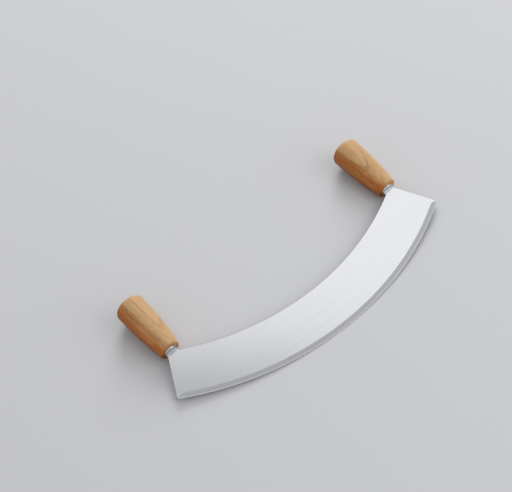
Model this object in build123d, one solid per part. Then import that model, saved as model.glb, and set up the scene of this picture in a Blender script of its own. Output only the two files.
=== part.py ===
from build123d import *
import math
import os

# Rocking pizza knife: a crescent blade with a turned wooden handle standing on each end.
# Every piece is drawn in the knife's own plane: X along the blade, Y from the cutting edge
# up to the handles, Z square to the blade, and Z zero in the middle of the sheet.
# The finished knife is then laid on a table the way it rests by itself.
# All lengths are in millimetres.

# Blade: a band of sheet steel between two arcs
blade_length = 342.0
blade_thickness = 2.0
blade_depth = 53.0
edge_radius = 330.0
spine_radius = 284.0
corner_rounding = 3.0
edge_break = 0.3

# Ground bevel along the cutting edge, the same on both faces, with a narrow honed facet
bevel_width = 5.2
honed_width = 1.0
honed_thickness = 0.7
edge_land = 0.2
run_out_radius = 4.0

# Necks, one on each end of the blade: a round plug welded to both faces of the sheet
handle_inset = 27.5
neck_diameter = 12.4
neck_rise = 2.3
neck_root_rounding = 1.5
neck_heel_lead = 0.7
neck_heel_rounding = 4.0
neck_rim_rounding = 0.4
weld_radius = 1.6
weld_rounding = 1.2
plug_outside = 0.5

# Rebate that the welds fill, and the tongue of the sheet inside the plug
rebate_depth = 0.2
rebate_clearance = 0.05
tongue_step = 2.2
tongue_length = 6.5

# Collar: a short steel tube sunk in the handle's narrow end
collar_wall = 0.6
collar_clearance = 0.2
collar_projection = 2.0
collar_seat = 8.0
collar_rounding_share = 0.4

# Turned handle
handle_length = 70.0
narrow_diameter = 22.2
widest_diameter = 31.5
shoulder_rounding = 5.0
dome_rise = 2.2
narrow_edge_rounding = 1.0
end_wood = 18.0

# Tang: a grooved rod bedded in the handle
tang_diameter = 7.0
tang_tip_chamfer = 1.0
tang_end_gap = 3.0
bedding_gap = 0.5
groove_count = 3
groove_depth = 0.6
groove_width = 2.0
groove_floor_share = 0.5
drill_point_angle = 118.0

# One overrun serves every cut
overrun = 1.0

# Where the necks stand on the sheet
handle_spacing = blade_length - 2 * handle_inset
neck_radius = neck_diameter / 2
neck_inside = handle_spacing / 2 - neck_radius
neck_outside = handle_spacing / 2 + neck_radius
corner_height = edge_radius - math.sqrt(edge_radius ** 2 - (blade_length / 2) ** 2)
root_height = blade_depth + spine_radius - math.sqrt(spine_radius ** 2 - neck_inside ** 2)
heel_height = root_height + neck_heel_lead

# Heights along the handle's axis, worked out from the sizes above
plug_bottom = heel_height + neck_rise
weld_bottom = plug_bottom - weld_radius
collar_front = plug_bottom + plug_outside
handle_bottom = collar_front + collar_projection
seat_floor = handle_bottom + collar_seat
handle_top = handle_bottom + handle_length
bore_end = handle_top - end_wood
tang_end = bore_end - tang_end_gap
tongue_top = plug_bottom + tongue_length

# The widest place of the handle, and the long arc that swells out to it
widest_height = handle_top - dome_rise - shoulder_rounding
swell = (widest_diameter - narrow_diameter) / 2
side_length = widest_height - handle_bottom
side_radius = (side_length ** 2 + swell ** 2) / (2 * swell)

# Radii and half thicknesses worked out from the sizes above
collar_bore_radius = neck_radius + collar_clearance
collar_radius = collar_bore_radius + collar_wall
tang_radius = tang_diameter / 2
bore_radius = tang_radius + bedding_gap
narrow_radius = narrow_diameter / 2
widest_radius = widest_diameter / 2
half_thickness = blade_thickness / 2
half_rebated = half_thickness - rebate_depth


def blade_outline():
    """Flat shape of the sheet, with a neck and a tongue on each end."""
    half_length = blade_length / 2
    corners = [(-half_length, corner_height), (half_length, corner_height)]
    roots = [(-neck_inside, root_height), (neck_inside, root_height)]
    heels = [(-neck_outside, heel_height), (neck_outside, heel_height)]
    lines = [
        ThreePointArc(corners[0], (0, 0), corners[1]),
        ThreePointArc(roots[0], (0, blade_depth), roots[1]),
    ]
    for sign, corner, heel, root in zip((-1, 1), corners, heels, roots):
        tongue_inner = sign * (neck_inside + tongue_step)
        tongue_outer = sign * (neck_outside - tongue_step)
        lines.append(
            Polyline(
                corner,
                heel,
                (sign * neck_outside, plug_bottom),
                (tongue_outer, plug_bottom),
                (tongue_outer, tongue_top),
                (tongue_inner, tongue_top),
                (tongue_inner, plug_bottom),
                (sign * neck_inside, plug_bottom),
                root,
            )
        )
    sheet = make_face(Curve() + lines)
    for places, rounding in (
        (corners, corner_rounding),
        (roots, neck_root_rounding),
        (heels, neck_heel_rounding),
    ):
        for place in places:
            vertex = sheet.vertices().sort_by_distance(place)[0]
            sheet = fillet(vertex, rounding)
    return sheet


def bevel_profile():
    """Section of the steel that grinding takes off one face, X outwards from the edge."""
    honed = honed_thickness / 2
    slope = (honed - edge_land / 2) / honed_width
    low = edge_land / 2 - overrun * slope
    high = half_thickness + overrun
    return Polygon(
        (-bevel_width, half_thickness),
        (-honed_width, honed),
        (overrun, low),
        (overrun, high),
        (-bevel_width, high),
        align=None,
    )


def bevel_cuts():
    """Steel ground off the upper face: a long arc that lifts off the blade near each corner."""
    lift_angle = math.acos(run_out_radius / (run_out_radius + bevel_width))
    lift_length = (run_out_radius + bevel_width) * math.sin(lift_angle)
    corner_angle = math.asin(blade_length / 2 / edge_radius)
    ground_angle = corner_angle - lift_length / edge_radius
    section = Plane.XZ * bevel_profile()
    reach = math.degrees(ground_angle)
    lift = math.degrees(lift_angle)
    along = Pos(0, edge_radius) * Rot(Z=-90 - reach) * revolve(
        Pos(edge_radius) * section, Axis.Z, 2 * reach
    )
    cuts = [along]
    for sign in (-1, 1):
        outward = sign * reach - 90
        swing = revolve(Pos(-run_out_radius) * section, Axis.Z, -sign * lift)
        cuts.append(
            Pos(0, edge_radius) * Rot(Z=outward) * Pos(edge_radius + run_out_radius) * swing
        )
    return cuts


def weld_plan(clearance, top):
    """Plan of one weld, widened by a clearance: rounded below, and straight up to a height."""
    half_width = neck_radius + clearance
    bottom = weld_bottom - clearance
    plan = Polygon(
        (-half_width, bottom), (half_width, bottom), (half_width, top), (-half_width, top), align=None
    )
    return fillet(plan.vertices().sort_by(Axis.Y)[:2], weld_rounding + clearance)


def make_blade():
    """Crescent sheet with broken edges, a bevel on both faces and rebates for the necks."""
    blade = extrude(blade_outline(), amount=half_thickness, both=True)
    end_middle = (blade_length / 2 + neck_outside) / 2
    end_height = (corner_height + heel_height) / 2
    broken = []
    for z in (-half_thickness, half_thickness):
        for place in ((0, blade_depth, z), (-end_middle, end_height, z), (end_middle, end_height, z)):
            broken.append(blade.edges().sort_by_distance(place)[0])
    blade = chamfer(broken, edge_break)
    rebate = Pos(Z=half_rebated) * extrude(
        weld_plan(rebate_clearance, tongue_top + overrun), amount=rebate_depth + overrun
    )
    cuts = bevel_cuts() + [Pos(sign * handle_spacing / 2) * rebate for sign in (-1, 1)]
    for cut in cuts:
        blade -= cut
        blade -= mirror(cut, Plane.XY)
    return blade


def make_plug():
    """Round plug with a rounded rim at the bottom."""
    section = Polygon(
        (0, plug_bottom), (neck_radius, plug_bottom), (neck_radius, seat_floor), (0, seat_floor), align=None
    )
    rim = section.vertices().sort_by_distance((neck_radius, plug_bottom))[0]
    return revolve(fillet(rim, neck_rim_rounding), Axis.Y)


def make_weld():
    """Hollow fillet that runs out from the plug on the upper face of the sheet."""
    back = plug_bottom + neck_rim_rounding
    block = Pos(Z=half_rebated) * extrude(weld_plan(0, back), amount=weld_radius + rebate_depth)
    hollow = Pos(0, weld_bottom, half_thickness + weld_radius) * Rot(Y=90) * Cylinder(
        weld_radius, neck_diameter + 2 * overrun
    )
    round_side = Solid.make_cylinder(
        neck_radius, seat_floor - weld_bottom, Plane(origin=(0, weld_bottom, 0), z_dir=(0, 1, 0))
    )
    return (block - hollow) & round_side


def make_tang():
    """Plug welded to both faces of the sheet, with the grooved rod that goes up into the handle."""
    mortise = Pos(0, plug_bottom + tongue_length / 2) * Box(
        neck_diameter - 2 * tongue_step, tongue_length, 2 * half_rebated
    )
    plug = make_plug() - mortise + tang_rod()
    weld = make_weld()
    return plug + weld + mirror(weld, Plane.XY)


def tang_rod():
    """Round rod with a row of retaining grooves and a chamfered tip."""
    length = tang_end - seat_floor
    pitch = length / (groove_count + 1)
    groove_radius = tang_radius - groove_depth
    groove_floor = groove_width * groove_floor_share
    points = [(0, seat_floor), (tang_radius, seat_floor)]
    for number in range(1, groove_count + 1):
        middle = seat_floor + number * pitch
        points += [
            (tang_radius, middle - groove_width / 2),
            (groove_radius, middle - groove_floor / 2),
            (groove_radius, middle + groove_floor / 2),
            (tang_radius, middle + groove_width / 2),
        ]
    points += [
        (tang_radius, tang_end - tang_tip_chamfer),
        (tang_radius - tang_tip_chamfer, tang_end),
        (0, tang_end),
    ]
    return revolve(make_face(Polyline(points, close=True)), Axis.Y)


def make_collar():
    """Steel tube between the neck and the wood, standing a little out of the handle."""
    wall = Polygon(
        (collar_bore_radius, collar_front),
        (collar_radius, collar_front),
        (collar_radius, seat_floor),
        (collar_bore_radius, seat_floor),
        align=None,
    )
    front = wall.vertices().sort_by(Axis.Y)[:2]
    return revolve(fillet(front, collar_rounding_share * collar_wall), Axis.Y)


def handle_outline():
    """Half section of the turned handle: a swelling side, a soft shoulder and a low dome."""
    narrow = (narrow_radius, handle_bottom)
    widest = (widest_radius, widest_height)
    inset = widest_radius - shoulder_rounding
    dome_radius = (inset ** 2 + dome_rise ** 2 + 2 * shoulder_rounding * dome_rise) / (2 * dome_rise)
    dome_centre = handle_top - dome_radius
    lean = math.atan2(inset, widest_height - dome_centre)
    meeting = (dome_radius * math.sin(lean), dome_centre + dome_radius * math.cos(lean))
    lines = [
        Line((0, handle_bottom), narrow),
        RadiusArc(narrow, widest, -side_radius),
        RadiusArc(widest, meeting, -shoulder_rounding),
        RadiusArc(meeting, (0, handle_top), -dome_radius),
        Line((0, handle_top), (0, handle_bottom)),
    ]
    section = make_face(Curve() + lines)
    rim = section.vertices().sort_by_distance(narrow)[0]
    return fillet(rim, narrow_edge_rounding)


def handle_bore():
    """Room drilled for the rod, ending in the cone that the drill's point leaves."""
    cone = bore_radius / math.tan(math.radians(drill_point_angle / 2))
    return Polygon(
        (0, seat_floor),
        (bore_radius, seat_floor),
        (bore_radius, bore_end - cone),
        (0, bore_end),
        align=None,
    )


def make_handle():
    """Turned wooden handle with a seat for the collar and a blind bore for the rod."""
    handle = revolve(handle_outline(), Axis.Y)
    seat_depth = collar_seat + overrun
    seat = Solid.make_cylinder(
        collar_radius, seat_depth, Plane(origin=(0, handle_bottom - overrun, 0), z_dir=(0, 1, 0))
    )
    return handle - seat - revolve(handle_bore(), Axis.Y)


def make_bedding(tang):
    """Hardened resin that fills the bore round the rod."""
    return revolve(handle_bore(), Axis.Y) - tang


def tilt_over(centre_y, centre_z, radius):
    """Angle at which a straight table, touching the blade, just touches a circle below it."""
    along = centre_y - bevel_width
    down = centre_z + half_thickness
    return math.asin(radius / math.hypot(along, down)) - math.atan2(down, along)


def rest_tilt():
    """Angle between the blade and the table when the knife lies on its bevel and its handles.

    The table touches the handle on its side arc, or else on the rounding at one end of that arc.
    """
    rim_height = handle_bottom + narrow_edge_rounding
    rim = tilt_over(rim_height, narrow_edge_rounding - narrow_radius, narrow_edge_rounding)
    shoulder = tilt_over(widest_height, shoulder_rounding - widest_radius, shoulder_rounding)
    side_centre = side_radius - widest_radius
    if math.hypot(widest_height - bevel_width, side_centre + half_thickness) > side_radius:
        side = tilt_over(widest_height, side_centre, side_radius)
        if rim_height < widest_height - side_radius * math.sin(side):
            return math.degrees(side)
    return math.degrees(max(rim, shoulder))


def main():
    tang = make_tang()
    per_side = {
        "tang": tang,
        "collar": make_collar(),
        "handle": make_handle(),
        "tang_bedding": make_bedding(tang),
    }
    pieces = {"blade": make_blade()}
    for side, sign in (("left", -1), ("right", 1)):
        for name, shape in per_side.items():
            pieces[f"{side}_{name}"] = Pos(sign * handle_spacing / 2) * shape
    tilt = rest_tilt()
    laid = {name: Rot(X=tilt) * shape for name, shape in pieces.items()}
    boxes = [shape.bounding_box() for shape in laid.values()]
    front = min(box.min.Y for box in boxes)
    back = max(box.max.Y for box in boxes)
    table = min(box.min.Z for box in boxes)
    shift = Pos(0, -(front + back) / 2, -table)
    os.makedirs("parts", exist_ok=True)
    for name, shape in laid.items():
        export_step(shift * shape, f"parts/{name}.step")
    print(f"rest tilt {tilt:.3f} degrees, moved by {shift.position}")


main()
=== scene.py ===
"""Looks of a rocking pizza knife: a crescent steel blade with a turned wooden handle on each end.

Sizes are in millimetres in the knife's own plane: U along the blade, V from the cutting edge up to
the handles and W square to the blade. The knife lies on the table tilted by its resting angle.
"""
import logging
import math
from dataclasses import dataclass, field
from enum import Enum

import bmesh
import bpy
from mathutils import Matrix, Vector


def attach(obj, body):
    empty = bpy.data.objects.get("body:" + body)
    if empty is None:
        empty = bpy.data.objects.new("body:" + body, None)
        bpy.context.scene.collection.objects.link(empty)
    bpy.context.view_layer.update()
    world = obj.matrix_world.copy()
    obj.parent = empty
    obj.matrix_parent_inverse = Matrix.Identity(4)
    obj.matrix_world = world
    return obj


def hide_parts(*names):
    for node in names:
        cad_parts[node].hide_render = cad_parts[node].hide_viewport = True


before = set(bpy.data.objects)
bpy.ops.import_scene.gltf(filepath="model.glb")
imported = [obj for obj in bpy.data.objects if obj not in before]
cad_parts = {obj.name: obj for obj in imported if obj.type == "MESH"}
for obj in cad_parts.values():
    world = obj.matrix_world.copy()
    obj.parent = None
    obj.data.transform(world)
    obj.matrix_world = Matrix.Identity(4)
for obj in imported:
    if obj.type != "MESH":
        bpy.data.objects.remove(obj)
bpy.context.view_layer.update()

LOG = logging.getLogger("pizza_knife")

# A millimetre in metres
MM = 0.001

# A quarter turn in degrees
QUARTER_TURN = 90.0

# Distance in millimetres within which points of a turned piece become one
MERGE_DISTANCE = 1e-4

# Angle in degrees from which an edge of a turned piece stays sharp
SHARP_ANGLE = 35.0

# The sRGB curve: straight up to its knee, and a power above it
SRGB_FULL = 255
SRGB_KNEE = 0.04045
SRGB_SLOPE = 12.92
SRGB_OFFSET = 0.055
SRGB_POWER = 2.4

Socket = bpy.types.NodeSocket

# A Mix node's sockets for colours and for numbers, which share their names
COLOUR_A, COLOUR_B, COLOUR_OUT = 6, 7, 2
NUMBER_A, NUMBER_B = 2, 3

# Random marks gather round a half, so a band of their values is stretched to a whole range
NARROW_BAND = {"From Min": 0.35, "From Max": 0.65}
MIDDLE_BAND = {"From Min": 0.3, "From Max": 0.7}
BROAD_BAND = {"From Min": 0.25, "From Max": 0.75}
BROADEST_BAND = {"From Min": 0.2, "From Max": 0.8}

# A range that runs down from one to zero
FALLING = {"To Min": 1.0, "To Max": 0.0}


class Side(Enum):
    """The two ends of the blade, with the direction of each along it."""

    LEFT = -1
    RIGHT = 1

    @property
    def label(self) -> str:
        """Name of the end as the pieces carry it."""
        return self.name.lower()


def linear(hex_colour: str) -> tuple[float, float, float, float]:
    """Turns an sRGB hex colour to the linear values that a shader takes.

    Args:
        hex_colour: Six hex digits, with or without a leading hash.

    Returns:
        Red, green, blue and an alpha of one.
    """
    channels = [value / SRGB_FULL for value in bytes.fromhex(hex_colour.lstrip("#"))]
    red, green, blue = [
        value / SRGB_SLOPE
        if value <= SRGB_KNEE
        else ((value + SRGB_OFFSET) / (1 + SRGB_OFFSET)) ** SRGB_POWER
        for value in channels
    ]
    return red, green, blue, 1.0


class NodeSheet:
    """The node tree of a material or a world, emptied, and the one way to add a node to it."""

    def __init__(self, owner: bpy.types.Material | bpy.types.World) -> None:
        """Empties the owner's node tree.

        Args:
            owner: Material or world whose tree is filled.
        """
        owner.use_nodes = True
        self.tree = owner.node_tree
        self.tree.nodes.clear()

    def add(
        self,
        kind: str,
        inputs: dict[str | int, object] | None = None,
        output: str | int = 0,
        **settings: object,
    ) -> Socket | None:
        """Adds a node with its settings, its constants and the links into it.

        Args:
            kind: Blender's name of the node type, without the ShaderNode that it starts with.
            inputs: Constant or output socket for each input, by the input's name or number.
            output: Name or number of the output that is wanted.
            settings: Properties of the node.

        Returns:
            The output's socket, or none where the node has no output.
        """
        made = self.tree.nodes.new(f"ShaderNode{kind}")
        for name, value in settings.items():
            setattr(made, name, value)
        for name, value in (inputs or {}).items():
            if isinstance(value, Socket):
                self.tree.links.new(value, made.inputs[name])
            else:
                made.inputs[name].default_value = value
        return made.outputs[output] if made.outputs else None


def start_material(name: str) -> tuple[bpy.types.Material, NodeSheet]:
    """Makes an empty material.

    Args:
        name: Name of the material.

    Returns:
        The material and the sheet for its nodes.
    """
    made = bpy.data.materials.new(name)
    return made, NodeSheet(made)


@dataclass(frozen=True)
class Rest:
    """How the knife lies on the table: turned about U by degrees, then moved by millimetres."""

    tilt: float = 6.637
    shift: tuple[float, float, float] = (0.0, -81.50078, 0.39233)

    def matrix(self) -> Matrix:
        """Matrix from the knife's plane in millimetres to the frame in metres."""
        turn = Matrix.Rotation(math.radians(self.tilt), 4, "X")
        return Matrix.Scale(MM, 4) @ Matrix.Translation(self.shift) @ turn

    def plane_coordinates(self, nodes: NodeSheet, base: Vector | None = None) -> Socket:
        """Adds the nodes that give the knife's own coordinates, in millimetres.

        Args:
            nodes: Sheet of a material.
            base: Point of the knife's plane that becomes zero, or none for the plane's own zero.

        Returns:
            Vector socket of the coordinates.
        """
        place = self.matrix() @ (base or Vector())
        placing = {
            "Vector": nodes.add("TexCoord", output="Object"),
            "Location": place,
            "Rotation": (math.radians(self.tilt), 0.0, 0.0),
            "Scale": (MM, MM, MM),
        }
        return nodes.add("Mapping", placing, vector_type="TEXTURE")


REST = Rest()


@dataclass(frozen=True)
class GrainPattern:
    """Random marks of a given size along each axis, in the unit of the coordinates."""

    size: tuple[float, float, float]
    detail: float = 2.0
    roughness: float = 0.5

    def draw(self, nodes: NodeSheet, place: Socket) -> Socket:
        """Adds the marks.

        Args:
            nodes: Sheet of a material.
            place: Vector socket of the coordinates.

        Returns:
            Socket of a number that is a half on average.
        """
        scale = [1 / length for length in self.size]
        marks = {
            "Vector": nodes.add("VectorMath", {0: place, 1: scale}, operation="MULTIPLY"),
            "Scale": 1.0,
            "Detail": self.detail,
            "Roughness": self.roughness,
        }
        return nodes.add("TexNoise", marks)


@dataclass(frozen=True)
class SatinBladeSteel:
    """Stainless cutlery steel, belt ground along the blade to a satin face.

    The face is pale and a little blurred in what it reflects, with fine lines that run along the
    blade. The bevel is ground across on a coarser belt, so its lines stand square to the cutting
    edge, and it reflects in a more blurred way and looks darker than the face. The last millimetre
    is honed, and its paler colour is a painted highlight. Real grinding lines are a tenth of a
    millimetre apart and wouldn't show, so they are drawn four times as coarse.
    """

    colour: str = "#D2D3D6"
    streak_colour: str = "#CFD0D3"
    bevel_colour: str = "#CFD1D5"
    honed_highlight_colour: str = "#ECEDF0"
    roughness: float = 0.18
    roughness_change: float = 0.007
    bevel_roughness_gain: float = 0.09
    relief: float = 0.003
    relief_strength: float = 0.008
    cloud_share: float = 0.25
    edge_centre: float = 330.0
    bevel_width: float = 5.2
    bevel_border: float = 0.15
    honed_width: float = 1.0
    honed_border: float = 0.2
    along: GrainPattern = GrainPattern((60.0, 0.4, 2.0), detail=3.0, roughness=0.6)
    across: GrainPattern = GrainPattern((0.4, 5.2, 2.0), roughness=0.6)
    bands: GrainPattern = GrainPattern((90.0, 2.0, 2.0))
    cloud: GrainPattern = GrainPattern((50.0, 28.0, 2.0), detail=3.0, roughness=0.55)

    def material(self) -> bpy.types.Material:
        """Builds the material.

        Returns:
            The material.
        """
        made, nodes = start_material("satin_stainless_steel")
        plane = REST.plane_coordinates(nodes)
        sideways = nodes.add("SeparateXYZ", {"Vector": plane}, "X")
        height = nodes.add("SeparateXYZ", {"Vector": plane}, "Y")
        level = nodes.add("SeparateXYZ", {"Vector": plane}, "Z")
        depth = nodes.add("Math", {0: self.edge_centre, 1: height}, operation="SUBTRACT")
        from_centre = nodes.add("CombineXYZ", {"X": sideways, "Y": depth})
        radius = nodes.add("VectorMath", {0: from_centre}, "Value", operation="LENGTH")
        inward = nodes.add("Math", {0: self.edge_centre, 1: radius}, operation="SUBTRACT")
        angle = nodes.add("Math", {0: sideways, 1: depth}, operation="ARCTAN2")
        along_edge = nodes.add("Math", {0: angle, 1: self.edge_centre}, operation="MULTIPLY")
        ground = nodes.add("CombineXYZ", {"X": along_edge, "Y": inward, "Z": level})
        shares = []
        for width, half_border in (
            (self.bevel_width, self.bevel_border),
            (self.honed_width, self.honed_border),
        ):
            border = {
                "Value": inward,
                "From Min": width - half_border,
                "From Max": width + half_border,
                **FALLING,
            }
            shares.append(nodes.add("MapRange", border, interpolation_type="SMOOTHSTEP"))
        on_bevel, on_edge = shares
        grinding = {
            "Factor": on_bevel,
            NUMBER_A: self.along.draw(nodes, plane),
            NUMBER_B: self.across.draw(nodes, ground),
        }
        lines = nodes.add("Mix", grinding, data_type="FLOAT")
        banding = {"Value": self.bands.draw(nodes, plane), **NARROW_BAND}
        clouding = {
            "Value": self.cloud.draw(nodes, plane),
            **NARROW_BAND,
            "To Max": self.cloud_share,
        }
        colour = linear(self.streak_colour)
        # The honed band's paler colour is a painted highlight along the cutting edge
        for share, over in (
            (nodes.add("MapRange", banding), self.colour),
            (nodes.add("MapRange", clouding), self.streak_colour),
            (on_bevel, self.bevel_colour),
            (on_edge, self.honed_highlight_colour),
        ):
            laid = {"Factor": share, COLOUR_A: colour, COLOUR_B: linear(over)}
            colour = nodes.add("Mix", laid, COLOUR_OUT, data_type="RGBA")
        blur_range = {
            "Value": lines,
            **MIDDLE_BAND,
            "To Min": self.roughness - self.roughness_change,
            "To Max": self.roughness + self.roughness_change,
        }
        coarser = {
            0: on_bevel,
            1: self.bevel_roughness_gain,
            2: nodes.add("MapRange", blur_range),
        }
        relief = {"Height": lines, "Distance": self.relief * MM, "Strength": self.relief_strength}
        finish = {
            "Metallic": 1.0,
            "Base Color": colour,
            "Roughness": nodes.add("Math", coarser, operation="MULTIPLY_ADD"),
            "Normal": nodes.add("Bump", relief),
        }
        nodes.add("OutputMaterial", {"Surface": nodes.add("BsdfPrincipled", finish)})
        return made


@dataclass(frozen=True)
class TurnedNeckSteel:
    """Round stainless bar, turned, then welded to the sheet.

    The bar has fine turned rings, which make it duller than the blade's face. The weld at its foot
    is ground smooth, and its darker blue-grey colour is a painted reflection. Real rings are closer
    and wouldn't show, so they are drawn a quarter of a millimetre apart.
    """

    colour: str = "#D4D5D8"
    groove_colour: str = "#B9BBBF"
    weld_painted_reflection_colour: str = "#BCC0C6"
    weld_top: float = 91.8
    weld_border: float = 0.3
    deepest_mark: float = 0.1
    faintest_mark: float = 0.45
    roughness: float = 0.34
    roughness_drop: float = 0.05
    roughness_rise: float = 0.07
    relief: float = 0.003
    relief_strength: float = 0.5
    rings: GrainPattern = GrainPattern((20.0, 0.25, 20.0))
    smears: GrainPattern = GrainPattern((2.5, 2.5, 2.5), detail=3.0)

    def material(self) -> bpy.types.Material:
        """Builds the material.

        Returns:
            The material.
        """
        made, nodes = start_material("turned_stainless_steel")
        plane = REST.plane_coordinates(nodes)
        height = nodes.add("SeparateXYZ", {"Vector": plane}, "Y")
        rings = self.rings.draw(nodes, plane)
        smears = self.smears.draw(nodes, plane)
        marks = nodes.add("Math", {0: rings, 1: smears}, operation="MULTIPLY")
        between_marks = {
            "Value": marks,
            "From Min": self.deepest_mark,
            "From Max": self.faintest_mark,
        }
        ringed = {
            "Factor": nodes.add("MapRange", between_marks),
            COLOUR_A: linear(self.groove_colour),
            COLOUR_B: linear(self.colour),
        }
        bar = nodes.add("Mix", ringed, COLOUR_OUT, data_type="RGBA")
        weld_border = {
            "Value": height,
            "From Min": self.weld_top - self.weld_border,
            "From Max": self.weld_top + self.weld_border,
        }
        above_weld = nodes.add("MapRange", weld_border, interpolation_type="SMOOTHSTEP")
        # The darker blue-grey at the weld is a painted reflection
        whole = {"Factor": above_weld, COLOUR_A: linear(self.weld_painted_reflection_colour), COLOUR_B: bar}
        blur_range = {
            "Value": smears,
            **MIDDLE_BAND,
            "To Min": self.roughness - self.roughness_drop,
            "To Max": self.roughness + self.roughness_rise,
        }
        relief = {"Height": rings, "Distance": self.relief * MM, "Strength": self.relief_strength}
        finish = {
            "Metallic": 1.0,
            "Base Color": nodes.add("Mix", whole, COLOUR_OUT, data_type="RGBA"),
            "Roughness": nodes.add("MapRange", blur_range),
            "Normal": nodes.add("Bump", relief),
        }
        nodes.add("OutputMaterial", {"Surface": nodes.add("BsdfPrincipled", finish)})
        return made


@dataclass(frozen=True)
class PolishedCollarSteel:
    """Drawn stainless tube, cut and polished on a wheel.

    It is the brightest metal on the knife, with soft wheel marks that run round it. Real marks are
    finer and wouldn't show, so they are drawn 0.4 mm wide.
    """

    colour: str = "#F4F4F5"
    mark_colour: str = "#E4E4E6"
    roughness: float = 0.22
    roughness_drop: float = 0.03
    roughness_rise: float = 0.06
    marks: GrainPattern = GrainPattern((10.0, 0.4, 10.0))

    def material(self) -> bpy.types.Material:
        """Builds the material.

        Returns:
            The material.
        """
        made, nodes = start_material("polished_stainless_tube")
        marks = self.marks.draw(nodes, REST.plane_coordinates(nodes))
        whole = {
            "Factor": nodes.add("MapRange", {"Value": marks, **NARROW_BAND}),
            COLOUR_A: linear(self.mark_colour),
            COLOUR_B: linear(self.colour),
        }
        blur_range = {
            "Value": marks,
            **MIDDLE_BAND,
            "To Min": self.roughness + self.roughness_rise,
            "To Max": self.roughness - self.roughness_drop,
        }
        finish = {
            "Metallic": 1.0,
            "Base Color": nodes.add("Mix", whole, COLOUR_OUT, data_type="RGBA"),
            "Roughness": nodes.add("MapRange", blur_range),
        }
        nodes.add("OutputMaterial", {"Surface": nodes.add("BsdfPrincipled", finish)})
        return made


@dataclass(frozen=True)
class CuredResin:
    """Epoxy that has set round the rod: amber, smooth and slightly cloudy."""

    colour: str = "#B58A4A"
    cloud_colour: str = "#9A7038"
    roughness: float = 0.25
    refraction: float = 1.55
    cloud: GrainPattern = GrainPattern((2.0, 2.0, 2.0), detail=3.0)

    def material(self) -> bpy.types.Material:
        """Builds the material.

        Returns:
            The material.
        """
        made, nodes = start_material("cured_epoxy")
        clouded = {
            "Factor": self.cloud.draw(nodes, REST.plane_coordinates(nodes)),
            COLOUR_A: linear(self.cloud_colour),
            COLOUR_B: linear(self.colour),
        }
        finish = {
            "Base Color": nodes.add("Mix", clouded, COLOUR_OUT, data_type="RGBA"),
            "Roughness": self.roughness,
            "IOR": self.refraction,
        }
        nodes.add("OutputMaterial", {"Surface": nodes.add("BsdfPrincipled", finish)})
        return made


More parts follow.
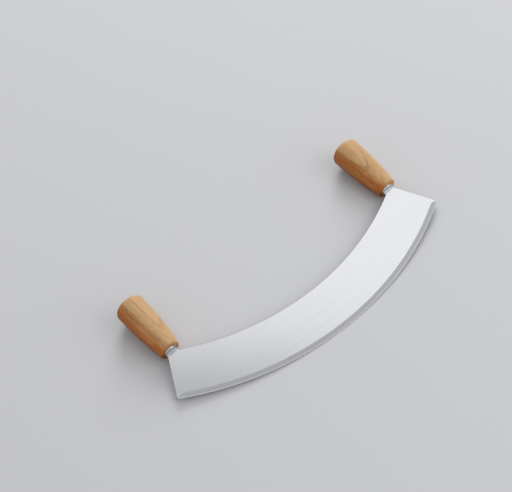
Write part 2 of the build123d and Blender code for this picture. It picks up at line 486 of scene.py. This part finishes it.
@dataclass(frozen=True)
class OiledWood:
    """Cherry wood, turned, sanded and oiled.

    The eye sees pale tan sapwood that deepens to orange-brown heartwood towards the lower side at
    minus U; that darkening is partly the wood's own colour and partly painted shade. Thin dark
    growth lines run along the handle and close in long arcs where the lathe cut along them, with
    fine streaks of fibre and a low satin shine from the oil. The rounded end cuts across the
    fibres, so it has soaked up more oil: it is an even brown, and its rings show as clear arcs.
    Fibres and pores are drawn about twice as coarse as real ones, so that they show from a metre
    away.
    """

    name: str
    pith: tuple[float, float, float]
    # Centre of the dark tones, low at minus U: partly heartwood, partly painted shade
    heart_and_shade_centre: tuple[float, float, float]
    seed: float
    dark_rings: tuple[tuple[float, float], ...]
    sap_colour: str = "#D1AE80"
    base_colour: str = "#D0995F"
    heart_and_shade_colour: str = "#B96B2B"
    core_and_shade_colour: str = "#8C4D1E"
    line_colour: str = "#6F4320"
    pore_colour: str = "#7A4A24"
    end_colour: str = "#A5784C"
    sap_distance: float = 31.0
    heart_and_shade_distance: float = 22.0
    core_and_shade_distance: float = 10.0
    line_spacing: float = 2.3
    faintest_line: float = 0.05
    darkest_line: float = 0.4
    dark_line_rarity: float = 2.0
    late_wood_start: float = 0.4
    late_wood_full: float = 0.9
    late_wood_end: float = 0.94
    dark_ring_core: float = 0.1
    dark_ring_width: float = 0.55
    faded_share: float = 0.35
    fade_start: float = 0.35
    fade_end: float = 0.6
    base_passage: tuple[float, float] = (0.0, 0.55)
    heart_and_shade_passage: tuple[float, float] = (0.45, 1.0)
    end_start: float = 66.0
    end_full: float = 69.0
    end_share: float = 0.65
    end_line_gain: float = 1.6
    bend_reach: float = 1.4
    ripple_reach: float = 0.6
    tone_reach: float = 0.3
    streak_reach: float = 0.22
    fibre_share: float = 0.3
    pore_size: tuple[float, float, float] = (0.5, 6.0, 0.5)
    pore_share: float = 0.4
    pore_inner: float = 0.12
    pore_outer: float = 0.28
    fibre_relief: float = 0.5
    relief: float = 0.02
    relief_strength: float = 0.5
    roughness: float = 0.44
    roughness_drop: float = 0.05
    roughness_rise: float = 0.06
    refraction: float = 1.5
    shine: float = 0.22
    bend: GrainPattern = GrainPattern((20.0, 70.0, 20.0), detail=1.0)
    ripple: GrainPattern = GrainPattern((3.3, 10.0, 3.3))
    fading: GrainPattern = GrainPattern((17.0, 33.0, 17.0), detail=1.0)
    tone: GrainPattern = GrainPattern((10.0, 50.0, 10.0))
    streak: GrainPattern = GrainPattern((1.3, 45.0, 1.3), roughness=0.55)
    fibre: GrainPattern = GrainPattern((0.5, 14.0, 0.5), detail=3.0, roughness=0.6)

    def growth_lines(self, nodes: NodeSheet, flat: Socket, spread: Socket) -> Socket:
        """Adds the dark lines of the growth rings.

        Args:
            nodes: Sheet of the material.
            flat: Coordinates from the handle's axis, with the height left out.
            spread: Coordinates that this handle's patterns are read at.

        Returns:
            Socket of the lines' darkness, from zero to one.
        """
        radius = nodes.add("VectorMath", {0: flat, 1: self.pith}, "Value", operation="DISTANCE")
        for pattern, reach in ((self.bend, self.bend_reach), (self.ripple, self.ripple_reach)):
            wave = {
                "Value": pattern.draw(nodes, spread),
                **BROADEST_BAND,
                "To Min": -reach,
                "To Max": reach,
            }
            radius = nodes.add("Math", {0: radius, 1: nodes.add("MapRange", wave)}, operation="ADD")
        rings = nodes.add("Math", {0: radius, 1: self.line_spacing}, operation="DIVIDE")
        phase = nodes.add("Math", {0: rings}, operation="FRACT")
        number = nodes.add("Math", {0: rings}, operation="FLOOR")
        number = nodes.add("Math", {0: number, 1: self.seed}, operation="ADD")
        chance = nodes.add("TexWhiteNoise", {"W": number}, "Value", noise_dimensions="1D")
        darkness_range = {
            "Value": nodes.add("Math", {0: chance, 1: self.dark_line_rarity}, operation="POWER"),
            "To Min": self.faintest_line,
            "To Max": self.darkest_line,
        }
        strength = nodes.add("MapRange", darkness_range)
        rise = {"Value": phase, "From Min": self.late_wood_start, "From Max": self.late_wood_full}
        fall = {"Value": phase, "From Min": self.late_wood_end, **FALLING}
        for side in (rise, fall):
            edge = nodes.add("MapRange", side, interpolation_type="SMOOTHSTEP")
            strength = nodes.add("Math", {0: strength, 1: edge}, operation="MULTIPLY")
        for place, darkness in self.dark_rings:
            off = nodes.add("Math", {0: radius, 1: place}, operation="SUBTRACT")
            ring = {
                "Value": nodes.add("Math", {0: off}, operation="ABSOLUTE"),
                "From Min": self.dark_ring_core,
                "From Max": self.dark_ring_width,
                "To Min": darkness,
                "To Max": 0.0,
            }
            dark = nodes.add("MapRange", ring)
            strength = nodes.add("Math", {0: strength, 1: dark}, operation="MAXIMUM")
        fade = {
            "Value": self.fading.draw(nodes, spread),
            "From Min": self.fade_start,
            "From Max": self.fade_end,
            "To Min": self.faded_share,
        }
        shown = nodes.add("MapRange", fade)
        return nodes.add("Math", {0: strength, 1: shown}, operation="MULTIPLY")

    def tones(self, nodes: NodeSheet, flat: Socket, spread: Socket) -> Socket:
        """Adds the passage from pale sapwood to dark heartwood, which is partly painted shade on
        the low side.

        Args:
            nodes: Sheet of the material.
            flat: Coordinates from the handle's axis, with the height left out.
            spread: Coordinates that this handle's patterns are read at.

        Returns:
            Socket of the colour.
        """
        # The tones darken towards the heart centre, low at minus U: partly heartwood, partly
        # painted shade
        distance = nodes.add("VectorMath", {0: flat, 1: self.heart_and_shade_centre}, "Value", operation="DISTANCE")
        depths = []
        for inner, outer in (
            (self.heart_and_shade_distance, self.sap_distance),
            (self.core_and_shade_distance, self.heart_and_shade_distance),
        ):
            passage = {"Value": distance, "From Min": inner, "From Max": outer, **FALLING}
            depths.append(nodes.add("MapRange", passage))
        depth, core_and_shade = depths
        for pattern, low, high in (
            (self.tone, -self.tone_reach, self.tone_reach),
            (self.streak, self.streak_reach, -self.streak_reach),
        ):
            change = {
                "Value": pattern.draw(nodes, spread),
                **BROAD_BAND,
                "To Min": low,
                "To Max": high,
            }
            depth = nodes.add("Math", {0: depth, 1: nodes.add("MapRange", change)}, operation="ADD")
        colour = linear(self.sap_colour)
        for (start, end), deeper in (
            (self.base_passage, self.base_colour),
            (self.heart_and_shade_passage, self.heart_and_shade_colour),
        ):
            passage = {"Value": depth, "From Min": start, "From Max": end}
            share = nodes.add("MapRange", passage, interpolation_type="SMOOTHSTEP")
            deepened = {"Factor": share, COLOUR_A: colour, COLOUR_B: linear(deeper)}
            colour = nodes.add("Mix", deepened, COLOUR_OUT, data_type="RGBA")
        darkest = {"Factor": core_and_shade, COLOUR_A: colour, COLOUR_B: linear(self.core_and_shade_colour)}
        return nodes.add("Mix", darkest, COLOUR_OUT, data_type="RGBA")

    def pores(self, nodes: NodeSheet, spread: Socket) -> Socket:
        """Adds the fine open pores that run with the fibres.

        Args:
            nodes: Sheet of the material.
            spread: Coordinates that this handle's patterns are read at.

        Returns:
            Socket that is one in a pore and zero between pores.
        """
        scale = [1 / length for length in self.pore_size]
        stretched = nodes.add("VectorMath", {0: spread, 1: scale}, operation="MULTIPLY")
        cells = {"Vector": stretched, "Scale": 1.0}
        rim = {
            "Value": nodes.add("TexVoronoi", cells, "Distance", feature="F1"),
            "From Min": self.pore_inner,
            "From Max": self.pore_outer,
            **FALLING,
        }
        return nodes.add("MapRange", rim, interpolation_type="SMOOTHSTEP")

    def material(self, base: Vector) -> bpy.types.Material:
        """Builds the material for one handle.

        Args:
            base: Middle of the handle's narrow end in the knife's plane.

        Returns:
            The material.
        """
        made, nodes = start_material(self.name)
        handle = REST.plane_coordinates(nodes, base)
        without_height = (1.0, 0.0, 1.0)
        flat = nodes.add("VectorMath", {0: handle, 1: without_height}, operation="MULTIPLY")
        spread = nodes.add("VectorMath", {0: handle, 1: (self.seed,) * 3}, operation="ADD")
        fibre = self.fibre.draw(nodes, spread)
        fibre_range = {
            "Value": fibre,
            **NARROW_BAND,
            "To Min": self.fibre_share,
            "To Max": 0.0,
        }
        pores = self.pores(nodes, spread)
        pore_share = nodes.add("Math", {0: pores, 1: self.pore_share}, operation="MULTIPLY")
        end_range = {
            "Value": nodes.add("SeparateXYZ", {"Vector": handle}, "Y"),
            "From Min": self.end_start,
            "From Max": self.end_full,
        }
        end = nodes.add("MapRange", end_range, interpolation_type="SMOOTHSTEP")
        end_share = nodes.add("Math", {0: end, 1: self.end_share}, operation="MULTIPLY")
        gain = nodes.add("Math", {0: end, 1: self.end_line_gain, 2: 1.0}, operation="MULTIPLY_ADD")
        lines = self.growth_lines(nodes, flat, spread)
        colour = self.tones(nodes, flat, spread)
        for share, darker in (
            (end_share, self.end_colour),
            (nodes.add("Math", {0: lines, 1: gain}, operation="MULTIPLY"), self.line_colour),
            (nodes.add("MapRange", fibre_range), self.heart_and_shade_colour),
            (pore_share, self.pore_colour),
        ):
            marked = {"Factor": share, COLOUR_A: colour, COLOUR_B: linear(darker)}
            colour = nodes.add("Mix", marked, COLOUR_OUT, data_type="RGBA")
        blur_range = {
            "Value": fibre,
            **MIDDLE_BAND,
            "To Min": self.roughness + self.roughness_rise,
            "To Max": self.roughness - self.roughness_drop,
        }
        fibre_height = nodes.add("Math", {0: fibre, 1: self.fibre_relief}, operation="MULTIPLY")
        relief = {
            "Height": nodes.add("Math", {0: fibre_height, 1: pores}, operation="SUBTRACT"),
            "Distance": self.relief * MM,
            "Strength": self.relief_strength,
        }
        finish = {
            "Base Color": colour,
            "Roughness": nodes.add("MapRange", blur_range),
            "IOR": self.refraction,
            "Specular IOR Level": self.shine,
            "Normal": nodes.add("Bump", relief),
        }
        nodes.add("OutputMaterial", {"Surface": nodes.add("BsdfPrincipled", finish)})
        return made


class Piece:
    """A mesh under way: drawn with bmesh in the knife's plane, then laid with the knife."""

    def __init__(self, name: str) -> None:
        """Starts an empty mesh.

        Args:
            name: Name of the finished piece.
        """
        self.name = name
        self.mesh = bmesh.new()

    def point(self, radius: float, height: float) -> bmesh.types.BMVert:
        """Adds a point of a lathe profile: radius from the axis, and height along it."""
        return self.mesh.verts.new((radius, height, 0.0))

    def line(self, points: list[bmesh.types.BMVert]) -> None:
        """Joins points by edges, in order."""
        for first, second in zip(points, points[1:]):
            self.mesh.edges.new((first, second))

    def arc(
        self, start: bmesh.types.BMVert, centre: tuple[float, float], degrees: float, steps: int
    ) -> bmesh.types.BMVert:
        """Draws an arc from a point by swinging the point round a centre.

        Args:
            start: Point that the arc starts from.
            centre: Radius and height of the arc's centre.
            degrees: Angle of the arc, positive from the radius axis towards the height axis.
            steps: Number of edges of the arc.

        Returns:
            The arc's last point.
        """
        swung = bmesh.ops.spin(
            self.mesh,
            geom=[start],
            cent=(*centre, 0.0),
            axis=(0.0, 0.0, 1.0),
            angle=math.radians(degrees),
            steps=steps,
            use_merge=False,
            use_duplicate=False,
        )
        return next(item for item in swung["geom_last"] if isinstance(item, bmesh.types.BMVert))

    def lathe(self, steps: int) -> None:
        """Turns the profile a full turn round the V axis and closes it.

        Args:
            steps: Number of steps of the turn.
        """
        bmesh.ops.spin(
            self.mesh,
            geom=self.mesh.verts[:] + self.mesh.edges[:],
            cent=(0.0, 0.0, 0.0),
            axis=(0.0, 1.0, 0.0),
            angle=math.tau,
            steps=steps,
            use_merge=True,
            use_duplicate=False,
        )
        bmesh.ops.remove_doubles(self.mesh, verts=self.mesh.verts[:], dist=MERGE_DISTANCE)
        self.mesh.verts.index_update()
        self.mesh.faces.sort(key=self.face_rank)
        bmesh.ops.recalc_face_normals(self.mesh, faces=self.mesh.faces[:])

    def face_rank(self, face: bmesh.types.BMFace) -> int:
        """Ranks a face by its points, because spin makes faces in no lasting order.

        Args:
            face: Face of the mesh, whose points are numbered.

        Returns:
            Number that is lower for a face whose first point comes earlier.
        """
        places = [point.index for point in face.verts]
        return min(places) * len(self.mesh.verts) + max(places)

    def finish(self, across: float, material: bpy.types.Material) -> bpy.types.Object:
        """Lays the piece with the knife and makes it an object.

        Args:
            across: Place of the piece's axis along the blade.
            material: Material for all of it.

        Returns:
            The new object.
        """
        place = REST.matrix() @ Matrix.Translation((across, 0.0, 0.0))
        bmesh.ops.transform(self.mesh, matrix=place, verts=self.mesh.verts[:])
        data = bpy.data.meshes.new(self.name)
        self.mesh.to_mesh(data)
        self.mesh.free()
        data.shade_smooth()
        data.set_sharp_from_angle(angle=math.radians(SHARP_ANGLE))
        data.materials.append(material)
        made = bpy.data.objects.new(self.name, data)
        bpy.context.scene.collection.objects.link(made)
        LOG.info("%s: %d faces", self.name, len(data.polygons))
        return made


@dataclass
class Handle:
    """Turned handle with a collar sunk in its narrow end."""

    side: Side
    wood: OiledWood
    across: float = 143.5
    bottom: float = 93.8945
    length: float = 70.0
    narrow_radius: float = 11.1
    widest_radius: float = 15.75
    shoulder: float = 5.0
    dome_rise: float = 2.2
    rim: float = 1.0
    seat_radius: float = 7.0
    seat_depth: float = 8.0
    seat_rounding: float = 0.25
    bore_radius: float = 4.0
    end_wood: float = 18.0
    drill_angle: float = 118.0
    collar_wall: float = 0.6
    collar_projection: float = 2.0
    collar_rounding: float = 0.22
    seat_rounding_steps: int = 4
    rim_steps: int = 8
    side_steps: int = 48
    end_steps: int = 14
    handle_turn_steps: int = 144
    collar_rounding_steps: int = 6
    collar_turn_steps: int = 96

    @property
    def place(self) -> float:
        """Place of the handle's axis along the blade."""
        return self.side.value * self.across

    def wooden_part(self) -> bpy.types.Object:
        """Turns the wood: bore, seat, rim, swelling side, shoulder and dome.

        Returns:
            The wooden part.
        """
        piece = Piece(f"{self.side.label}_turned_handle")
        top = self.bottom + self.length
        seat_floor = self.bottom + self.seat_depth
        bore_end = top - self.end_wood
        cone = self.bore_radius / math.tan(math.radians(self.drill_angle / 2))
        mouth = piece.point(self.seat_radius, self.bottom + self.seat_rounding)
        inside = [
            piece.point(0.0, bore_end),
            piece.point(self.bore_radius, bore_end - cone),
            piece.point(self.bore_radius, seat_floor),
            piece.point(self.seat_radius, seat_floor),
            mouth,
        ]
        piece.line(inside)
        seat_edge = (self.seat_radius + self.seat_rounding, mouth.co.y)
        face_inner = piece.arc(mouth, seat_edge, QUARTER_TURN, self.seat_rounding_steps)
        widest_height = top - self.dome_rise - self.shoulder
        swell = self.widest_radius - self.narrow_radius
        run = widest_height - self.bottom
        # The side is one arc, which runs along the axis where the handle is widest
        side_radius = (run ** 2 + swell ** 2) / (2 * swell)
        side_centre = self.widest_radius - side_radius
        reach = side_radius - self.rim
        rim_height = self.bottom + self.rim
        rim_radius = side_centre + math.sqrt(reach ** 2 - (widest_height - rim_height) ** 2)
        face_outer = piece.point(rim_radius, self.bottom)
        piece.line([face_inner, face_outer])
        lean = math.degrees(math.asin((widest_height - rim_height) / reach))
        rim_centre = (rim_radius, rim_height)
        side_start = piece.arc(face_outer, rim_centre, QUARTER_TURN - lean, self.rim_steps)
        side_end = piece.arc(side_start, (side_centre, widest_height), lean, self.side_steps)
        inset = self.widest_radius - self.shoulder
        # The dome's arc touches the shoulder's, so the two meet without a kink
        dome_radius = (inset ** 2 + self.dome_rise ** 2) / (2 * self.dome_rise) + self.shoulder
        dome_centre = top - dome_radius
        fall = math.degrees(math.atan2(inset, widest_height - dome_centre))
        shoulder_centre = (inset, widest_height)
        shoulder_end = piece.arc(side_end, shoulder_centre, QUARTER_TURN - fall, self.end_steps)
        dome_end = piece.arc(shoulder_end, (0.0, dome_centre), fall, self.end_steps)
        dome_end.co.x = 0.0
        piece.lathe(self.handle_turn_steps)
        base = Vector((self.place, self.bottom, 0.0))
        return piece.finish(self.place, self.wood.material(base))

    def collar(self, material: bpy.types.Material) -> bpy.types.Object:
        """Makes the steel tube with its two front edges rounded.

        Args:
            material: Finish of the tube.

        Returns:
            The tube.
        """
        piece = Piece(f"{self.side.label}_steel_collar")
        front = self.bottom - self.collar_projection
        back = self.bottom + self.seat_depth
        inner = self.seat_radius - self.collar_wall
        outer_centre = (self.seat_radius - self.collar_rounding, front + self.collar_rounding)
        inner_centre = (inner + self.collar_rounding, front + self.collar_rounding)
        outer_start = piece.point(outer_centre[0], front)
        outer_end = piece.arc(outer_start, outer_centre, QUARTER_TURN, self.collar_rounding_steps)
        inner_start = piece.point(inner, inner_centre[1])
        inner_end = piece.arc(inner_start, inner_centre, QUARTER_TURN, self.collar_rounding_steps)
        outer_back = piece.point(self.seat_radius, back)
        inner_back = piece.point(inner, back)
        piece.line([outer_end, outer_back, inner_back, inner_start])
        piece.line([inner_end, outer_start])
        piece.lathe(self.collar_turn_steps)
        return piece.finish(self.place, material)

    def build(self, collar_finish: bpy.types.Material) -> None:
        """Builds the handle and its collar and lets them stand for the frame's own pieces.

        Args:
            collar_finish: Finish of the collar.
        """
        wood = self.wooden_part()
        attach(wood, "root")
        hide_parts(f"{self.side.label}_handle")
        tube = self.collar(collar_finish)
        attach(tube, "root")
        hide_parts(f"{self.side.label}_collar")
        LOG.info("%s handle and collar are in place", self.side.label)


@dataclass
class Blade:
    """Crescent blade with its two necks, whose shapes are the frame's own."""

    face: SatinBladeSteel = field(default_factory=SatinBladeSteel)
    neck: TurnedNeckSteel = field(default_factory=TurnedNeckSteel)
    resin: CuredResin = field(default_factory=CuredResin)

    def dress(self) -> None:
        """Gives the sheet, the tangs and their bedding their materials."""
        neck = self.neck.material()
        resin = self.resin.material()
        finishes = {"blade": self.face.material()}
        for side in Side:
            finishes[f"{side.label}_tang"] = neck
            finishes[f"{side.label}_tang_bedding"] = resin
        for name, material in finishes.items():
            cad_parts[name].data.materials.clear()
            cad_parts[name].data.materials.append(material)
            LOG.info("%s is dressed in %s", name, material.name)


@dataclass(frozen=True)
class SoftLamp:
    """A square soft lamp: its direction and distance in metres, its size and its face's glow."""

    name: str
    direction: tuple[float, float, float]
    distance: float
    size: float
    glow: float


@dataclass
class Studio:
    """Pale floor, soft lamps and the camera that sees the knife as it was photographed."""

    floor_colour: str = "#D2D3D6"
    floor_half: float = 1.3
    floor_squares: int = 2
    floor_drop: float = 0.1
    floor_smoothest: float = 0.85
    floor_roughest: float = 0.95
    floor_grain: GrainPattern = GrainPattern((0.17, 0.17, 0.17), detail=3.0)
    world_colour: str = "#FFFFFF"
    world_strength: float = 0.54
    lamps: tuple[SoftLamp, ...] = (
        SoftLamp("wide_soft_lamp", (0.45, 0.50, 0.80), distance=2.35, size=1.59, glow=0.76),
        SoftLamp("key_lamp", (0.62, 0.65, 0.44), distance=3.6, size=1.64, glow=6.5),
        SoftLamp("front_lamp", (0.50, -0.68, 0.54), distance=2.0, size=1.7, glow=1.08),
    )
    station: tuple[float, float, float] = (-0.46160, -0.71072, 1.12521)
    image_right: tuple[float, float, float] = (0.76293, -0.63538, -0.11930)
    image_down: tuple[float, float, float] = (-0.56022, -0.55768, -0.61249)
    lens: float = 98.44
    sensor_width: float = 36.0
    nearest_seen: float = 0.05
    farthest_seen: float = 20.0

    def floor(self) -> None:
        """Makes the floor that carries the knife's shadow."""
        sheet = bmesh.new()
        bmesh.ops.create_grid(
            sheet,
            x_segments=self.floor_squares,
            y_segments=self.floor_squares,
            size=self.floor_half,
        )
        drop = (0.0, 0.0, -self.floor_drop * MM)
        bmesh.ops.translate(sheet, verts=sheet.verts[:], vec=drop)
        data = bpy.data.meshes.new("floor")
        sheet.to_mesh(data)
        sheet.free()
        paint, nodes = start_material("matt_floor_paint")
        blur_range = {
            "Value": self.floor_grain.draw(nodes, nodes.add("TexCoord", output="Object")),
            **MIDDLE_BAND,
            "To Min": self.floor_smoothest,
            "To Max": self.floor_roughest,
        }
        finish = {
            "Base Color": linear(self.floor_colour),
            "Roughness": nodes.add("MapRange", blur_range),
        }
        nodes.add("OutputMaterial", {"Surface": nodes.add("BsdfPrincipled", finish)})
        data.materials.append(paint)
        made = bpy.data.objects.new("floor", data)
        bpy.context.scene.collection.objects.link(made)

    def hang(self, lamp: SoftLamp) -> None:
        """Hangs a square soft lamp that faces the knife.

        Args:
            lamp: The lamp's place, size and glow.
        """
        data = bpy.data.lights.new(lamp.name, "AREA")
        data.shape = "SQUARE"
        data.size = lamp.size
        # A lamp's power goes with its area, so a larger lamp keeps the same glow
        data.energy = lamp.glow * math.pi * lamp.size ** 2
        made = bpy.data.objects.new(lamp.name, data)
        towards = Vector(lamp.direction).normalized()
        made.location = towards * lamp.distance
        made.rotation_euler = towards.to_track_quat("Z", "Y").to_euler()
        bpy.context.scene.collection.objects.link(made)

    def camera(self) -> None:
        """Places the camera from its station and the directions of the image's sides."""
        right = Vector(self.image_right).normalized()
        back = right.cross(-Vector(self.image_down)).normalized()
        up = back.cross(right)
        data = bpy.data.cameras.new("camera")
        data.lens = self.lens
        data.sensor_width = self.sensor_width
        data.sensor_fit = "HORIZONTAL"
        data.clip_start = self.nearest_seen
        data.clip_end = self.farthest_seen
        made = bpy.data.objects.new("camera", data)
        turn = Matrix((right, up, back)).transposed().to_4x4()
        made.matrix_world = Matrix.Translation(self.station) @ turn
        bpy.context.scene.collection.objects.link(made)
        bpy.context.scene.camera = made

    def world(self) -> None:
        """Gives the room a plain pale light from all sides."""
        made = bpy.data.worlds.new("room")
        nodes = NodeSheet(made)
        shine = {"Color": linear(self.world_colour), "Strength": self.world_strength}
        nodes.add("OutputWorld", {"Surface": nodes.add("Background", shine)})
        bpy.context.scene.world = made

    def build(self) -> None:
        """Sets up the floor, the light and the camera."""
        self.floor()
        self.world()
        for lamp in self.lamps:
            self.hang(lamp)
        self.camera()
        bpy.context.scene.view_settings.view_transform = "Standard"
        LOG.info("the studio is set")


def main() -> None:
    """Builds the knife's pieces in order and sets up the studio."""
    logging.basicConfig(level=logging.INFO, format="%(name)s: %(message)s")
    Blade().dress()
    collar_finish = PolishedCollarSteel().material()
    # Each heart centre sits low at minus U, so the dark tones there are partly painted shade
    woods = {
        Side.LEFT: OiledWood(
            name="oiled_cherry_left",
            pith=(-15.0, 0.0, -14.0),
            heart_and_shade_centre=(-15.0, 0.0, -14.0),
            seed=3.0,
            dark_rings=((26.8, 0.85), (28.2, 0.7)),
        ),
        Side.RIGHT: OiledWood(
            name="oiled_cherry_right",
            pith=(7.0, 0.0, -17.0),
            heart_and_shade_centre=(-14.0, 0.0, -15.0),
            seed=41.0,
            dark_rings=((32.3, 0.5), (31.0, 0.35), (29.8, 0.3)),
        ),
    }
    for side, wood in woods.items():
        Handle(side, wood).build(collar_finish)
    Studio().build()


if __name__ == "__main__":
    main()
